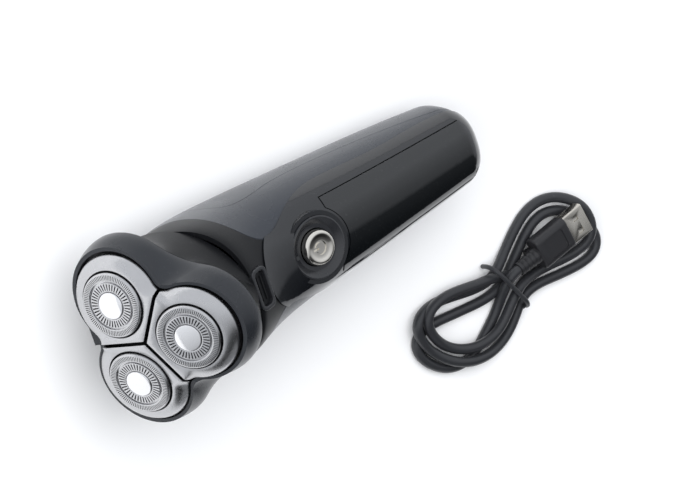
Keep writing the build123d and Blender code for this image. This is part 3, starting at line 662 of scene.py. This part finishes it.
# each outline is width, height and corner radius
PLUG_BODY_OUTLINE = (12.3, 7.1, 2.2)
PLUG_BODY_LENGTH = 15.0
PLUG_BODY_ROUNDING = 0.8
GRIP_OUTLINE = (8.0, 9.0, 1.4)
GRIP_DEPTH = 0.3
PLUG_SHELL_OUTLINE = (11.4, 4.5, 0.5)
PLUG_SHELL_LENGTH = 9.0
PLUG_SHELL_LOW = RELIEF_LENGTH + PLUG_BODY_LENGTH
PLUG_SHELL_HIGH = PLUG_SHELL_LOW + PLUG_SHELL_LENGTH
PLUG_MOUTH_WIDTH = 10.8

# The tie runs over the waist from its outer side, comes down on its near side and ends in a twist.
TIE_MIDDLE = Vector((65.5, 72.0, 0)) * MM
TIE_WAY = Vector((0.9, 0.44, 0))
TIE_RADIUS = 0.85
TIE_LINE = [
    (-11.0, 1.0), (-11.6, 3.6), (-11.0, 7.0), (-8.6, 9.0), (-4.0, 9.25), (0.0, 9.25), (4.0, 9.25), (8.2, 9.0),
    (10.9, 6.6), (11.2, 3.6), (11.4, 1.9),
]
TIE_END = 1.2
TIE_END_THINNESS = 0.75
TIE_TWIST_REACH = 0.8
TIE_TWISTS = 1.0
TIE_TWIST_STEPS = 16


def plug_place(start, way):
    """A place whose Z runs along a plug and whose Y points up."""
    return upright_place(Vector(start) * MM, way, (0, 0, 1))


def round_line(name, points, radius):
    """A round wire on a smooth line with control points in mm, still a curve."""
    curve = bpy.data.curves.new(name, "CURVE")
    curve.dimensions = "3D"
    line = curve.splines.new("NURBS")
    line.points.add(len(points) - 1)
    for point, at in zip(line.points, points):
        point.co = (*(Vector(at) * MM), 1)
    line.order_u = 3
    line.use_endpoint_u = True
    line.resolution_u = 8
    curve.bevel_depth = radius * MM
    curve.bevel_resolution = 5
    curve.use_fill_caps = True
    wire = bpy.data.objects.new(name, curve)
    bpy.context.scene.collection.objects.link(wire)
    return wire


def tie_wire(name, points, radius):
    """A part of the tie, turned into a mesh."""
    wire = round_line(name, points, radius)
    take(wire)
    bpy.ops.object.convert(target="MESH")
    return wire


def make_tie():
    """A soft wire tie closed over the waist, with its two ends twisted together at the near side."""
    place = upright_place(TIE_MIDDLE, (0, 0, 1), TIE_WAY)
    loop = [place @ (Vector((0, along, height)) * MM) / MM for along, height in TIE_LINE]
    wires = [tie_wire("tie_loop", loop, TIE_RADIUS)]
    end_along, end_height = TIE_LINE[-1]
    for phase in (0.0, math.pi):
        twist = []
        for step in range(TIE_TWIST_STEPS + 1):
            turn = phase + TIE_TWISTS * FULL_TURN * step / TIE_TWIST_STEPS
            along = end_along + TIE_END * step / TIE_TWIST_STEPS
            side = TIE_RADIUS * TIE_TWIST_REACH * math.cos(turn)
            height = end_height + TIE_RADIUS * TIE_TWIST_REACH * math.sin(turn)
            twist.append(place @ (Vector((side, along, height)) * MM) / MM)
        wires.append(tie_wire("tie_end", twist, TIE_RADIUS * TIE_END_THINNESS))
    return smooth(joined("lead_tie", wires), 50)


def prism(name, outline, low, high):
    """An outline in mm carried from one height to another."""
    piece = outline_piece(name, [(across, up, low) for across, up in outline])
    begin_edit(piece)
    bpy.ops.mesh.edge_face_add()
    bpy.ops.mesh.extrude_region_move(TRANSFORM_OT_translate={"value": (0, 0, (high - low) * MM)})
    bpy.ops.mesh.select_all(action="SELECT")
    bpy.ops.mesh.normals_make_consistent(inside=False)
    end_edit()
    return piece


def rounded_outline(width, height, radius, steps=6):
    points = []
    for corner, (across, up) in enumerate(((1, 1), (-1, 1), (-1, -1), (1, -1))):
        for step in range(steps + 1):
            turn = math.radians(90 * corner + 90 * step / steps)
            points.append(
                (across * (width / 2 - radius) + radius * math.cos(turn),
                 up * (height / 2 - radius) + radius * math.sin(turn))
            )
    return points


def make_relief(place):
    """The ribbed sleeve where the lead enters its large plug."""
    outline = [(0, 0.0)]
    for rib in range(RELIEF_RIBS):
        low = RELIEF_LENGTH * rib / RELIEF_RIBS
        radius = RELIEF_START_RADIUS + RELIEF_GROWTH * (rib + 0.5) / RELIEF_RIBS
        outline += [(radius + out, low + along) for out, along in RIB_OUTLINE]
    outline += [(RELIEF_END_RADIUS, RELIEF_LENGTH), (0, RELIEF_LENGTH)]
    return smooth(settle(spun("lead_relief", outline, RELIEF_STEPS, closed=False), place), 40)


def make_plug_body(place):
    """The large plug's soft moulding: rounded, with a shallow grip recess."""
    solid = prism("lead_plug", rounded_outline(*PLUG_BODY_OUTLINE), RELIEF_LENGTH, PLUG_SHELL_LOW)
    body = bevelled(solid, PLUG_BODY_ROUNDING, 4)
    recess = prism("recess", rounded_outline(*GRIP_OUTLINE), 0, 1.0)
    top = PLUG_BODY_OUTLINE[1] / 2
    grip_at = Vector((0, top - GRIP_DEPTH, RELIEF_LENGTH + PLUG_BODY_LENGTH / 2)) * MM
    settle(recess, Matrix.Translation(grip_at) @ Matrix.Rotation(-math.pi / 2, 4, "X"))
    cut_away(body, recess)
    return smooth(settle(body, place), 40)


def make_plug_shell(place):
    """The folded metal shell of the plug, with its two square windows and its inner tongue."""
    shell = prism("lead_plug_shell", rounded_outline(*PLUG_SHELL_OUTLINE), PLUG_SHELL_LOW, PLUG_SHELL_HIGH)
    mouth_size = (PLUG_MOUTH_WIDTH, 1.9, PLUG_SHELL_LENGTH)
    cut_away(shell, block("mouth", mouth_size, (0, -0.95, PLUG_SHELL_LOW + 5)))
    cut_away(shell, block("far_mouth", (PLUG_MOUTH_WIDTH, 3.9, 1.4), (0, 0, PLUG_SHELL_HIGH)))
    face = PLUG_SHELL_OUTLINE[1] / 2
    for side in (1, -1):
        window_at = (side * 2.6, face, PLUG_SHELL_LOW + PLUG_SHELL_LENGTH / 2)
        cut_away(shell, block("window", (2.0, 1.2, 2.2), window_at))
    return smooth(settle(bevelled(shell, 0.1, 2, 50), place), 40)


class SHAVER_OT_lead(bpy.types.Operator):
    """Add the charging lead with its large plug, relief and tie"""

    bl_idname = "shaver.lead"
    bl_label = "Charging lead"

    def execute(self, context):
        lead = round_line("charging_lead", LEAD_ROUTE, sizes().cord_diameter / 2)
        hand_over(lead, "cable", "cord_rubber", cord_material(), "cable_hank")
        place = plug_place(BIG_PLUG_START, BIG_PLUG_WAY)
        tie = hand_over(make_tie(), "cable", "cord_rubber", cord_material(), "cable_tie")
        relief = hand_over(make_relief(place), "cable", "cord_rubber", plug_material(), "usb_relief")
        body = hand_over(make_plug_body(place), "cable", "plug_plastic", plug_material(), "usb_plug")
        shell = hand_over(make_plug_shell(place), "cable", "plug_steel", plug_metal_material(), "usb_shell")
        return {"FINISHED"}


# ------------------------------------------------------------------ plates
PLATE_LOBE = 16.5
PLATE_WAIST = 19.4
PLATE_GAP = 1.3
PLATE_TOP = -1.2
PLATE_FOOT = -6.4
PLATE_HOLE = 12.0
PLATE_STEPS = 120
BEYOND_SECTOR = 7.0
PLATE_LIP = 1.2
# how far in from the outline, as a share of the bevel, and how far under the top
PLATE_PROFILE = ((1.0, 0.25), (0.72, 0.62), (0.42, 1.22), (0.18, 1.95), (0.04, 2.7), (0.0, 3.4))
HALF_SECTOR = math.radians(60)
SECTOR_EDGE = math.radians(30)


def ray_to_line(way, point, normal):
    """How far a ray from the origin goes to a line, or None where it never meets it."""
    facing = way.dot(normal)
    return point.dot(normal) / facing if facing > 1e-6 else None


def plate_reach(turn):
    """Distance from a cutter's axis to the lobed outline, in a direction from straight outwards."""
    way = Vector((math.sin(turn), math.cos(turn)))
    hollow = (PLATE_WAIST**2 - LOBE_AT * PLATE_WAIST + LOBE_AT**2 - PLATE_LOBE**2) / (
        2 * PLATE_LOBE + LOBE_AT - 2 * PLATE_WAIST
    )
    side = 1 if way.x >= 0 else -1
    head = Vector((0, -LOBE_AT))
    hollow_way = Vector((side * math.sin(HALF_SECTOR), math.cos(HALF_SECTOR)))
    hollow_at = head + hollow_way * (PLATE_WAIST + hollow)
    reach = PLATE_LOBE
    if abs(turn) > math.atan2(abs(hollow_at.x), hollow_at.y):
        along = way.dot(hollow_at)
        inside = along**2 - hollow_at.length_squared + hollow**2
        reach = along - math.sqrt(inside) if along > 0 and inside > 0 else 2 * PLATE_LOBE
    sector_normal = Vector((side * math.sin(SECTOR_EDGE), -math.cos(SECTOR_EDGE)))
    limit = ray_to_line(way, head + sector_normal * BEYOND_SECTOR, sector_normal)
    return min(reach, limit) if limit and limit > 0 else reach


def make_plate(name):
    """One plate: flat round its hole, with a broad bevel and a short wall along the lobed outline."""
    bevel = sizes().plate_bevel
    levels = [(None, PLATE_TOP - PLATE_LIP), (None, PLATE_TOP)]
    levels += [(bevel * share, PLATE_TOP - drop) for share, drop in PLATE_PROFILE]
    levels.append((0.0, PLATE_FOOT))
    rings = []
    for inset, height in levels:
        ring = []
        for step in range(PLATE_STEPS):
            turn = FULL_TURN * step / PLATE_STEPS - math.pi
            radius = PLATE_HOLE if inset is None else plate_reach(turn) - inset
            ring.append((radius * math.sin(turn), radius * math.cos(turn), height))
        rings.append(ring)
    piece = outline_piece(f"cutter_plate_{name}", rings[0])
    joined_rings = [piece] + [outline_piece("ring", ring) for ring in rings[1:]]
    piece = joined(f"cutter_plate_{name}", joined_rings)
    begin_edit(piece)
    mesh = bmesh.from_edit_mesh(piece.data)
    mesh.verts.ensure_lookup_table()
    for level in range(len(rings) - 1):
        for edge in mesh.edges:
            edge.select = all(vertex.index // PLATE_STEPS in (level, level + 1) for vertex in edge.verts)
        bmesh.update_edit_mesh(piece.data)
        bpy.ops.mesh.select_mode(type="EDGE")
        bpy.ops.mesh.bridge_edge_loops()
        mesh = bmesh.from_edit_mesh(piece.data)
        mesh.verts.ensure_lookup_table()
    bpy.ops.mesh.select_mode(type="VERT")
    bpy.ops.mesh.select_all(action="SELECT")
    bpy.ops.mesh.normals_make_consistent(inside=False)
    end_edit()
    apply_modifier(piece, "SOLIDIFY", thickness=sizes().plate_skin * MM, offset=-1)
    settle(piece, UNIT_PLACES[name])
    outwards = FACE_CENTRES[name] - HEAD_CENTRE
    outwards = (outwards - HEAD_NORMAL * outwards.dot(HEAD_NORMAL)).normalized()
    for side in (1, -1):
        begin_edit(piece)
        bpy.ops.mesh.bisect(
            plane_co=HEAD_CENTRE + outwards * PLATE_GAP / 2 / math.sin(HALF_SECTOR) * MM,
            plane_no=Matrix.Rotation(side * SECTOR_EDGE, 3, HEAD_NORMAL) @ -outwards,
            use_fill=True,
            clear_outer=True,
        )
        end_edit()
    bevelled(piece, 0.12, 2, 55)
    return smooth(piece, 30)


class SHAVER_OT_plates(bpy.types.Operator):
    """Make the three satin metal plates round the cutters"""

    bl_idname = "shaver.plates"
    bl_label = "Cutter plates"

    def execute(self, context):
        for name in UNITS:
            hand_over(make_plate(name), f"unit_{name}", "satin_plate", plate_material(), f"plate_{name}")
        return {"FINISHED"}


# ------------------------------------------------------------------ foils and caps
FOIL_SHEET = 0.28
OUTER_SLOTS = (9.0, 10.75)
INNER_SLOTS = (5.35, 7.65)
# of every so many steps round a foil, how many are open
OUTER_PITCH, OUTER_OPEN = 5, 2
INNER_PITCH, INNER_OPEN = 12, 5
TURNED_STEPS = 96
CAP_OUTLINE = [(0, 0.36), (4.35, 0.36), (4.58, 0.3), (4.7, 0.12), (4.74, -0.1), (4.74, -0.5), (0, -0.5)]
FOIL_OUTLINE = [
    (11.4, -2.6), (11.4, -0.75), (11.3, -0.35), (11.05, -0.1), (OUTER_SLOTS[1], 0.0), (OUTER_SLOTS[0], 0.0),
    (8.72, -0.02), (8.6, -0.12), (8.55, -0.8), (8.0, -0.8), (7.95, -0.12), (7.85, -0.02), (INNER_SLOTS[1], 0.0),
    (INNER_SLOTS[0], 0.0), (5.0, 0.0), (4.88, -0.1), (4.86, -0.45),
]


def make_foil(name):
    """One foil: two slotted tracks with a groove between them."""
    steps = sizes().slot_steps
    piece = spun(f"slotted_foil_{name}", FOIL_OUTLINE, steps, closed=False)
    begin_edit(piece)
    bpy.ops.mesh.select_all(action="DESELECT")
    bpy.ops.mesh.select_mode(type="FACE")
    mesh = bmesh.from_edit_mesh(piece.data)
    for face in mesh.faces:
        middle = face.calc_center_median() / MM
        radius = math.hypot(middle.x, middle.y)
        step = int((math.atan2(middle.y, middle.x) % FULL_TURN) / FULL_TURN * steps)
        outer_slot = OUTER_SLOTS[0] < radius < OUTER_SLOTS[1] and step % OUTER_PITCH < OUTER_OPEN
        inner_slot = INNER_SLOTS[0] < radius < INNER_SLOTS[1] and step % INNER_PITCH < INNER_OPEN
        face.select = bool((outer_slot or inner_slot) and middle.z > -0.05)
    bmesh.update_edit_mesh(piece.data)
    bpy.ops.mesh.delete(type="FACE")
    bpy.ops.mesh.select_all(action="SELECT")
    bpy.ops.mesh.normals_make_consistent(inside=False)
    end_edit()
    apply_modifier(piece, "SOLIDIFY", thickness=FOIL_SHEET * MM, offset=-1)
    return smooth(settle(piece, UNIT_PLACES[name]), 40)


def make_cap(name):
    """One cap: a flat polished disc with a soft edge."""
    cap = spun(f"foil_cap_{name}", CAP_OUTLINE, TURNED_STEPS, closed=False)
    return smooth(settle(cap, UNIT_PLACES[name]), 40)


class SHAVER_OT_foils(bpy.types.Operator):
    """Make the slotted foils and their polished caps"""

    bl_idname = "shaver.foils"
    bl_label = "Foils and caps"

    def execute(self, context):
        for name in UNITS:
            place = UNIT_PLACES[name]
            steel = turned_metal(f"Foil steel {name}", (0.62, 0.62, 0.63), 0.2, 0.3, place)
            mirror = (0.93, 0.93, 0.94)
            polished = turned_metal(f"Cap polish {name}", mirror, 0.06, 0.12, place, depth=0.0000004)
            hand_over(make_foil(name), f"unit_{name}", "foil_steel", steel, f"foil_{name}")
            hand_over(make_cap(name), f"unit_{name}", "cap_mirror", polished, f"cap_{name}")
        return {"FINISHED"}


# ------------------------------------------------------------------ power button
BUTTON_OUTLINE = [
    (0, 1.72), (3.3, 1.74), (4.0, 1.86), (4.5, 2.06), (5.0, 2.14), (5.5, 2.02), (5.95, 1.6), (6.2, 0.9), (6.3, 0.2),
    (6.3, -2.6), (0, -2.6),
]
ICON_RADIUS = 2.15
ICON_LINE = 0.7
ICON_DEPTH = 0.8
ICON_LOW = 1.2
ICON_HIGH = 3.0


def make_button():
    """The polished button with an on-off sign cut into its dish."""
    button = spun("power_button_cap", BUTTON_OUTLINE, TURNED_STEPS, closed=False)
    inner, outer = ICON_RADIUS - ICON_LINE / 2, ICON_RADIUS + ICON_LINE / 2
    ring_outline = [(inner, ICON_LOW), (outer, ICON_LOW), (outer, ICON_HIGH), (inner, ICON_HIGH)]
    ring = spun("icon_ring", ring_outline, 64)
    gap = block("icon_gap", (1.5, 2.4, 4), (0, -ICON_RADIUS, 2))
    cut_away(ring, gap)
    cut_away(button, ring)
    cut_away(button, block("icon_line", (ICON_LINE, 2.3, 2 * ICON_DEPTH + 0.8), (0, -1.85, 2.1)))
    return smooth(settle(button, BUTTON_PLACE), 30)


class SHAVER_OT_button(bpy.types.Operator):
    """Make the polished power button"""

    bl_idname = "shaver.button"
    bl_label = "Power button"

    def execute(self, context):
        hand_over(make_button(), "power_button", "button_chrome", chrome_material(), "power_button")
        return {"FINISHED"}


# ------------------------------------------------------------------ finishes of the pieces kept from the model
def kept_finishes():
    gear = moulded("Gear acetal", (0.72, 0.72, 0.7), 0.35, 0.45, grain=1800.0)
    board = moulded("Board mask", (0.01, 0.09, 0.04), 0.25, 0.35, grain=1500.0)
    sleeve = moulded("Cell sleeve", (0.03, 0.09, 0.2), 0.25, 0.35, grain=900.0)
    light = moulded("Light guide", (0.03, 0.032, 0.034), 0.15, 0.22, grain=1500.0)
    brass = metal("Contact brass", (0.78, 0.58, 0.27), 0.2, 0.35)
    rubber = moulded("Seal rubber", (0.012, 0.012, 0.012), 0.55, 0.7, grain=1600.0)
    finishes = {
        "back_shell": band_material(), "side_band": band_material(), "head_rim": rim_material(),
        "neck_shell": neck_material(), "head_base": neck_material(), "release_button": neck_material(),
        "front_panel": panel_material(), "panel_strip": strip_material(), "button_ring": dish_material(),
        "release_bezel": dish_material(), "status_led": light, "handle_tray": inner_material(),
        "push_switch": inner_material(), "charging_socket": inner_material(), "gear_cover": inner_material(),
        "unit_carrier": inner_material(), "battery_cell": sleeve, "circuit_board": board,
        "tray_screws": steel_material(), "hinge_pin": steel_material(), "motor_can": steel_material(),
        "motor_rotor": steel_material(), "socket_pins": brass, "drive_pinion": brass, "neck_seal": rubber,
        "small_relief": cord_material(), "small_plug": plug_material(),
    }
    for name in UNITS:
        finishes[f"drive_gear_{name}"] = gear
        finishes[f"spindle_{name}"] = gear
        finishes[f"retainer_{name}"] = inner_material()
        finishes[f"cutter_{name}"] = metal("Cutter steel", (0.16, 0.16, 0.165), 0.35, 0.45)
    return finishes


class SHAVER_OT_finishes(bpy.types.Operator):
    """Give every piece kept from the model its finish"""

    bl_idname = "shaver.finishes"
    bl_label = "Finishes"

    def execute(self, context):
        for name, material in kept_finishes().items():
            node = frame["nodes"][name]
            node.data.materials.clear()
            node.data.materials.append(material)
        return {"FINISHED"}


# ------------------------------------------------------------------ panel and run
OPERATORS = (
    SHAVER_OT_stage, SHAVER_OT_lead, SHAVER_OT_plates, SHAVER_OT_foils, SHAVER_OT_button, SHAVER_OT_finishes,
)


class SHAVER_PT_panel(bpy.types.Panel):
    """The shaver's pieces, sizes and colours"""

    bl_label = "Shaver"
    bl_space_type = "VIEW_3D"
    bl_region_type = "UI"
    bl_category = "Shaver"

    def draw(self, context):
        for operator in OPERATORS:
            self.layout.operator(operator.bl_idname)
        for group in (context.scene.shaver_sizes, context.scene.shaver_colours):
            for key in group.bl_rna.properties.keys():
                if key not in ("rna_type", "name"):
                    self.layout.prop(group, key)


CLASSES = (ShaverSizes, ShaverColours, *OPERATORS, SHAVER_PT_panel)


def register():
    for made in CLASSES:
        bpy.utils.register_class(made)
    bpy.types.Scene.shaver_sizes = bpy.props.PointerProperty(type=ShaverSizes)
    bpy.types.Scene.shaver_colours = bpy.props.PointerProperty(type=ShaverColours)


def unregister():
    del bpy.types.Scene.shaver_sizes
    del bpy.types.Scene.shaver_colours
    for made in reversed(CLASSES):
        bpy.utils.unregister_class(made)


def main():
    register()
    for operator in OPERATORS:
        group, name = operator.bl_idname.split(".")
        getattr(getattr(bpy.ops, group), name)()


if __name__ == "__main__":
    main()
